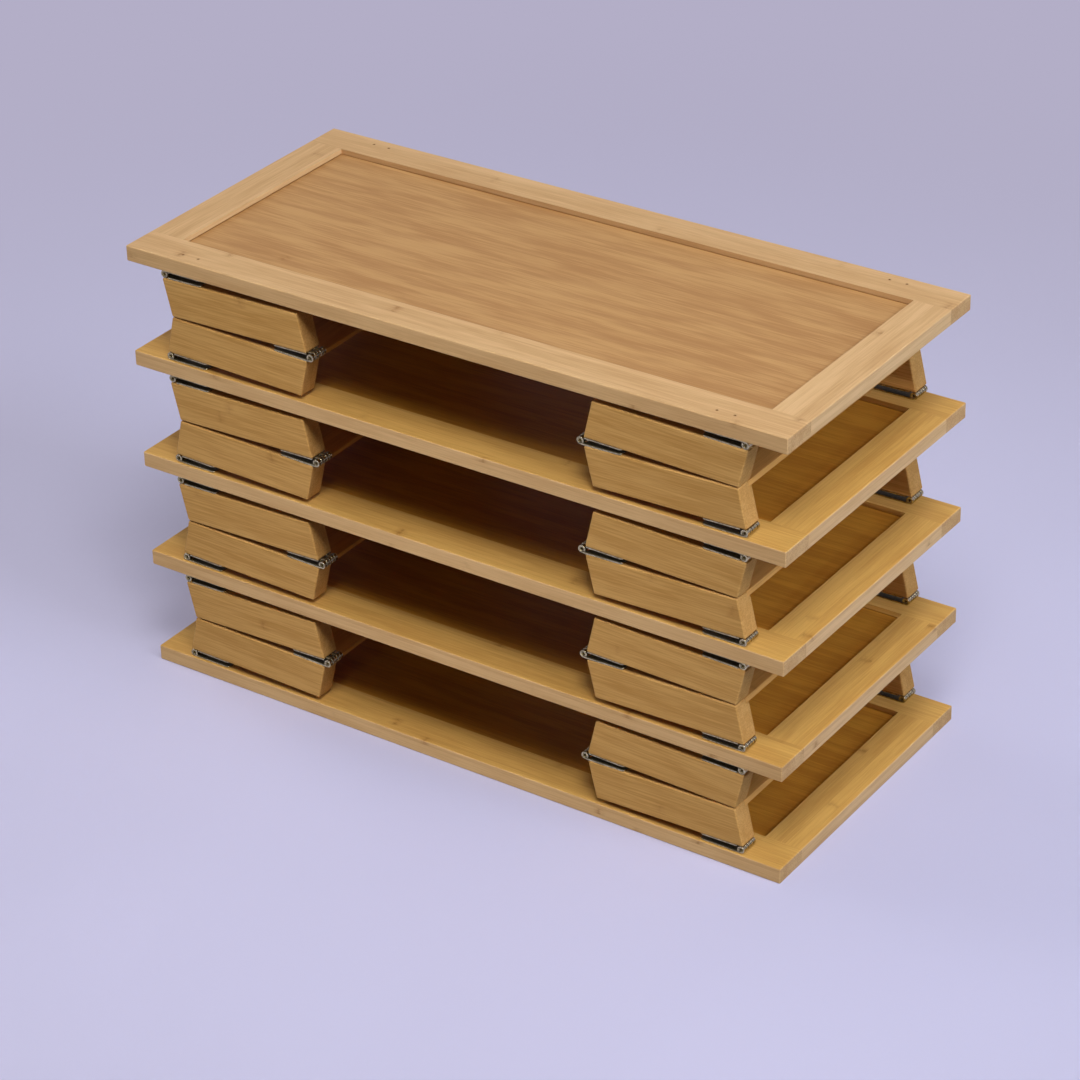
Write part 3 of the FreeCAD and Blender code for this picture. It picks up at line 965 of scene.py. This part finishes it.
def place_copies(name, body, copies, material):
    """Joins copies of models, given as (model, placement), into one piece that rides on a body."""
    start_fresh()
    for model, placement in copies:
        copy = model.copy()
        copy.data = model.data.copy()
        bpy.context.collection.objects.link(copy)
        copy.matrix_world = placement
        copy.select_set(True)
        bpy.context.view_layer.objects.active = copy
    bpy.context.view_layer.update()
    if len(copies) > 1:
        bpy.ops.object.join()
    settle()
    piece = bpy.context.object
    piece.name = name
    piece.data.name = name
    piece.data.materials.clear()
    piece.data.materials.append(material)
    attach(piece, body)
    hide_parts(hardware_node(body))


def steel_finish():
    """The hinge steel, made once."""
    return bpy.data.materials.get("plated_steel") or plated_steel()


# Stage

WHITE = (1.0, 1.0, 1.0)
BLACK = (0.0, 0.0, 0.0)
PALE_BLUE = (0.92, 0.95, 1.0)
BLUE = (0.55, 0.72, 1.0)

FLOOR_CLOUD_RANGE = (0.3, 0.7)

# How far the light of a lamp spreads, in degrees
WIDE_SPREAD = 180
NARROW_SPREAD = 40


def seen_rays(owner):
    """1 for a ray that shows the floor or the sky, also in a mirror, and 0 for one that carries light."""
    path = owner.node_tree.nodes.new("ShaderNodeLightPath")
    kinds = ("Camera", "Glossy", "Transmission")
    camera, glossy, transmission = (Signal(path.outputs[f"Is {kind} Ray"]) for kind in kinds)
    return (camera + glossy + transmission).least(1.0)


def direction(azimuth, elevation):
    """From the shelf towards a point round it: azimuth 0 is in front and 90 degrees is on the right."""
    level = math.cos(elevation)
    return Vector((math.sin(azimuth) * level, -math.cos(azimuth) * level, math.sin(elevation)))


def lamp(name, power, tint=WHITE, *, azimuth, elevation, side, spread=WIDE_SPREAD):
    """A square soft lamp that faces the middle of the shelf, with its angles in degrees."""
    setting = bpy.context.scene.shelf_stage
    back = direction(math.radians(azimuth), math.radians(elevation))
    middle = (CAD_BOX[0] + CAD_BOX[1]) / 2
    start_fresh()
    bpy.ops.object.light_add(type="AREA", location=middle + back * setting.lamp_distance)
    made = bpy.context.object
    made.name = name
    made.rotation_euler = back.to_track_quat("Z", "Y").to_euler()
    made.visible_camera = False
    made.data.shape = "SQUARE"
    made.data.size = side
    made.data.spread = math.radians(spread)
    made.data.energy = power
    made.data.color = tint
    return made


def low_lamp(name, power, tint=WHITE, **place):
    """A lamp that brightens the upright faces and leaves no glare on the boards."""
    lamp(name, power, tint, spread=NARROW_SPREAD, **place).visible_glossy = False


# Operators

# The seeds of the boards of each kind count up from these; those of the frames count up from 2
PANEL_SEEDS = 20
LEG_SEEDS = 30
SIDE_PANEL_SEEDS = 60


class FOLDINGSHELF_OT_finish_frames(bpy.types.Operator):
    """Gives the rails and stiles of the shelves their pale bamboo"""

    bl_idname = "folding_shelf.finish_frames"
    bl_label = "Finish shelf frames"

    def execute(self, context):
        wood = context.scene.shelf_frame_wood
        pin = abs(JOINTS["tier_1_fold"]["pos_m"][0])
        screws = [(pin - reach, leg_middle()) for reach in screw_reaches()]
        for number in range(1, SHELF_COUNT + 1):
            middle = node_middle(f"shelf_{number}_rails")
            for part, turn in (("rails", ALONG_X), ("stiles", ALONG_Y)):
                name = f"shelf_{number}_{part}"
                seed = 2 * number + (part == "stiles")
                tips = screws if name == f"shelf_{SHELF_COUNT}_rails" else ()
                # Shelves below the top one get painted shade, a warm tint for the light under the shelf
                # above
                tint = painted_shelf_shade(wood, number)
                dress(name, bamboo(f"{name}_bamboo", wood, turn, middle, seed, tint, tips=tips))
        return {"FINISHED"}


class FOLDINGSHELF_OT_finish_panels(bpy.types.Operator):
    """Gives the panels in the shelves their darker veneer"""

    bl_idname = "folding_shelf.finish_panels"
    bl_label = "Finish shelf panels"

    def execute(self, context):
        wood = context.scene.shelf_panel_wood
        for number in range(1, SHELF_COUNT + 1):
            name = f"shelf_{number}_panel"
            middle = node_middle(name)
            seed = PANEL_SEEDS + number
            # Panels below the top one get painted shade, a warm tint for the light under the shelf above
            tint = painted_shelf_shade(wood, number)
            opening = (nearest(f"shelf_{number}_stiles", 0), nearest(f"shelf_{number}_rails", 1))
            dress(name, bamboo(f"{name}_bamboo", wood, ALONG_X, middle, seed, tint, opening))
        return {"FINISHED"}


class FOLDINGSHELF_OT_finish_legs(bpy.types.Operator):
    """Gives the half-legs their honey-coloured bamboo, with the grain along each leg"""

    bl_idname = "folding_shelf.finish_legs"
    bl_label = "Finish legs"

    def execute(self, context):
        wood = context.scene.shelf_leg_wood
        seed = LEG_SEEDS
        for tier in TIERS:
            for side in SIDES:
                for half in ("lower", "upper"):
                    name = f"tier_{tier}_{side}_{half}_legs"
                    turn = leg_turn(side, half)
                    dress(name, bamboo(f"{name}_bamboo", wood, turn, node_middle(name), seed))
                    seed += 1
        return {"FINISHED"}


class FOLDINGSHELF_OT_finish_side_panels(bpy.types.Operator):
    """Gives the thin panels between front and back legs their bamboo"""

    bl_idname = "folding_shelf.finish_side_panels"
    bl_label = "Finish side panels"

    def execute(self, context):
        wood = context.scene.shelf_side_panel_wood
        seed = SIDE_PANEL_SEEDS
        for tier in TIERS:
            for side in SIDES:
                name = f"tier_{tier}_{side}_side_panel"
                dress(name, bamboo(f"{name}_bamboo", wood, ALONG_Y, node_middle(name), seed))
                seed += 1
        return {"FINISHED"}


class FOLDINGSHELF_OT_make_leaves(bpy.types.Operator):
    """Models the two kinds of hinge leaf and puts them on every shelf and half-leg"""

    bl_idname = "folding_shelf.make_leaves"
    bl_label = "Make hinge leaves"

    def execute(self, context):
        models = {kind: model_leaf(kind) for kind in (True, False)}
        for body, sets in hinge_places().items():
            copies = [(models[kind], placement) for placement, kind in sets]
            place_copies(f"{body}_hinge_leaves", body, copies, steel_finish())
        for model in models.values():
            bpy.data.objects.remove(model)
        return {"FINISHED"}


class FOLDINGSHELF_OT_make_pins(bpy.types.Operator):
    """Models a hinge pin and puts it in every barrel, on the body with the end knuckles"""

    bl_idname = "folding_shelf.make_pins"
    bl_label = "Make hinge pins"

    def execute(self, context):
        model = model_pin()
        for body, sets in hinge_places().items():
            copies = [(model, placement) for placement, has_end_knuckles in sets if has_end_knuckles]
            if copies:
                place_copies(f"{body}_hinge_pins", body, copies, steel_finish())
        bpy.data.objects.remove(model)
        return {"FINISHED"}


class FOLDINGSHELF_OT_make_screws(bpy.types.Operator):
    """Models a countersunk screw and puts two in every hinge leaf"""

    bl_idname = "folding_shelf.make_screws"
    bl_label = "Make hinge screws"

    def execute(self, context):
        sizes = context.scene.shelf_hinges
        model = model_screw()
        top = sizes.leaf_thickness - sizes.pin_offset
        seats = [Matrix.Translation((x, 0.0, top)) for x in screw_reaches()]
        for body, sets in hinge_places().items():
            copies = [(model, placement @ seat) for placement, _ in sets for seat in seats]
            place_copies(f"{body}_hinge_screws", body, copies, steel_finish())
        bpy.data.objects.remove(model)
        return {"FINISHED"}


class FOLDINGSHELF_OT_set_stage(bpy.types.Operator):
    """Sets the pale floor, the soft light and the camera"""

    bl_idname = "folding_shelf.set_stage"
    bl_label = "Set stage"

    def execute(self, context):
        setting = context.scene.shelf_stage
        self.lay_floor(setting)
        self.light(context, setting)
        self.place_camera(context, setting)
        return {"FINISHED"}

    def lay_floor(self, setting):
        """A faintly clouded floor, which fades into the colour of the sky away from the shelf."""
        start_fresh()
        bpy.ops.mesh.primitive_plane_add(size=setting.floor_size)
        floor = bpy.context.object
        floor.name = "floor"
        material, shader, coordinates = new_finish("pale_floor")
        surface = Signal(coordinates.outputs["Object"])
        noise = {"Vector": surface, "Scale": 1.5, "Detail": 2.0}
        cloud = surface.node("ShaderNodeTexNoise", {}, noise).fade(*FLOOR_CLOUD_RANGE)
        darker = tuple(part * setting.floor_cloud for part in setting.floor_colour)
        seen = seen_rays(material)
        near = seen.blend(setting.bounce_colour, cloud.blend(setting.floor_colour, darker))
        distance = surface.node("ShaderNodeVectorMath", {"operation": "LENGTH"}, {0: surface}, "Value")
        least = setting.fade_least
        far = distance.fade(setting.fade_start, setting.fade_end) * (1.0 - least) + least
        connect(far.blend(near, BLACK), shader, "Base Color")
        connect((far * seen).blend(BLACK, setting.sky_colour), shader, "Emission Color")
        shader.inputs["Emission Strength"].default_value = 1.0
        shader.inputs["Roughness"].default_value = 0.8
        shader.inputs["Specular IOR Level"].default_value = 0.0
        floor.data.materials.append(material)

    def light(self, context, setting):
        """The sky shows its own colour, and lights the shelf as a plain soft white."""
        context.scene.view_settings.view_transform = "Standard"
        world = bpy.data.worlds.new("soft_sky")
        context.scene.world = world
        world.use_nodes = True
        background = world.node_tree.nodes["Background"]
        seen = seen_rays(world)
        connect(seen.blend(WHITE, setting.sky_colour), background, "Color")
        connect(setting.sky_light + seen * (1.0 - setting.sky_light), background, "Strength")
        lamp("key_lamp", setting.key_power, azimuth=40, elevation=60, side=1.1)
        lamp("right_lamp", setting.right_power, PALE_BLUE, azimuth=86, elevation=36, side=1.4)
        lamp("left_lamp", setting.left_power, azimuth=-90, elevation=38, side=2.0)
        low_lamp("front_lamp", setting.front_power, azimuth=-5, elevation=0, side=0.12)
        low_lamp("end_lamp", setting.end_power, BLUE, azimuth=90, elevation=14, side=0.4)
        low_lamp("back_lamp", setting.back_power, azimuth=180, elevation=0, side=0.12)

    def place_camera(self, context, setting):
        """The camera stands where the photograph was taken from."""
        back = direction(setting.azimuth, setting.elevation)
        right = Vector((0.0, 0.0, 1.0)).cross(back).normalized()
        upright = Matrix((right, back.cross(right), back)).transposed()
        turn = upright @ Matrix.Rotation(setting.roll, 3, "Z")
        start_fresh()
        bpy.ops.object.camera_add(location=Vector(setting.target) + back * setting.distance)
        camera = bpy.context.object
        camera.name = "camera"
        camera.rotation_euler = turn.to_euler()
        camera.data.lens = setting.lens
        context.scene.camera = camera


class FOLDINGSHELF_PT_shelf(bpy.types.Panel):
    """Lists the steps that dress the folding shelf"""

    bl_idname = "FOLDINGSHELF_PT_shelf"
    bl_label = "Folding shelf"
    bl_space_type = "VIEW_3D"
    bl_region_type = "UI"
    bl_category = "Shelf"

    def draw(self, context):
        for operator in OPERATORS:
            self.layout.operator(operator.bl_idname)
        for name in SETTINGS:
            group = getattr(context.scene, name)
            box = self.layout.box()
            for prop in group.__annotations__:
                box.prop(group, prop)


SETTINGS = {
    "shelf_grain": GrainSizes,
    "shelf_frame_wood": FrameWood,
    "shelf_panel_wood": PanelWood,
    "shelf_leg_wood": LegWood,
    "shelf_side_panel_wood": SidePanelWood,
    "shelf_hinges": HingeSizes,
    "shelf_stage": StageSetting,
}
OPERATORS = (
    FOLDINGSHELF_OT_finish_frames,
    FOLDINGSHELF_OT_finish_panels,
    FOLDINGSHELF_OT_finish_legs,
    FOLDINGSHELF_OT_finish_side_panels,
    FOLDINGSHELF_OT_make_leaves,
    FOLDINGSHELF_OT_make_pins,
    FOLDINGSHELF_OT_make_screws,
    FOLDINGSHELF_OT_set_stage,
)


def register():
    for name, group in SETTINGS.items():
        bpy.utils.register_class(group)
        setattr(bpy.types.Scene, name, PointerProperty(type=group))
    for part in (*OPERATORS, FOLDINGSHELF_PT_shelf):
        bpy.utils.register_class(part)


def unregister():
    for part in (FOLDINGSHELF_PT_shelf, *reversed(OPERATORS)):
        bpy.utils.unregister_class(part)
    for name, group in SETTINGS.items():
        delattr(bpy.types.Scene, name)
        bpy.utils.unregister_class(group)


def main():
    register()
    bpy.ops.folding_shelf.finish_frames()
    bpy.ops.folding_shelf.finish_panels()
    bpy.ops.folding_shelf.finish_legs()
    bpy.ops.folding_shelf.finish_side_panels()
    bpy.ops.folding_shelf.make_leaves()
    bpy.ops.folding_shelf.make_pins()
    bpy.ops.folding_shelf.make_screws()
    bpy.ops.folding_shelf.set_stage()


if __name__ == "__main__":
    main()
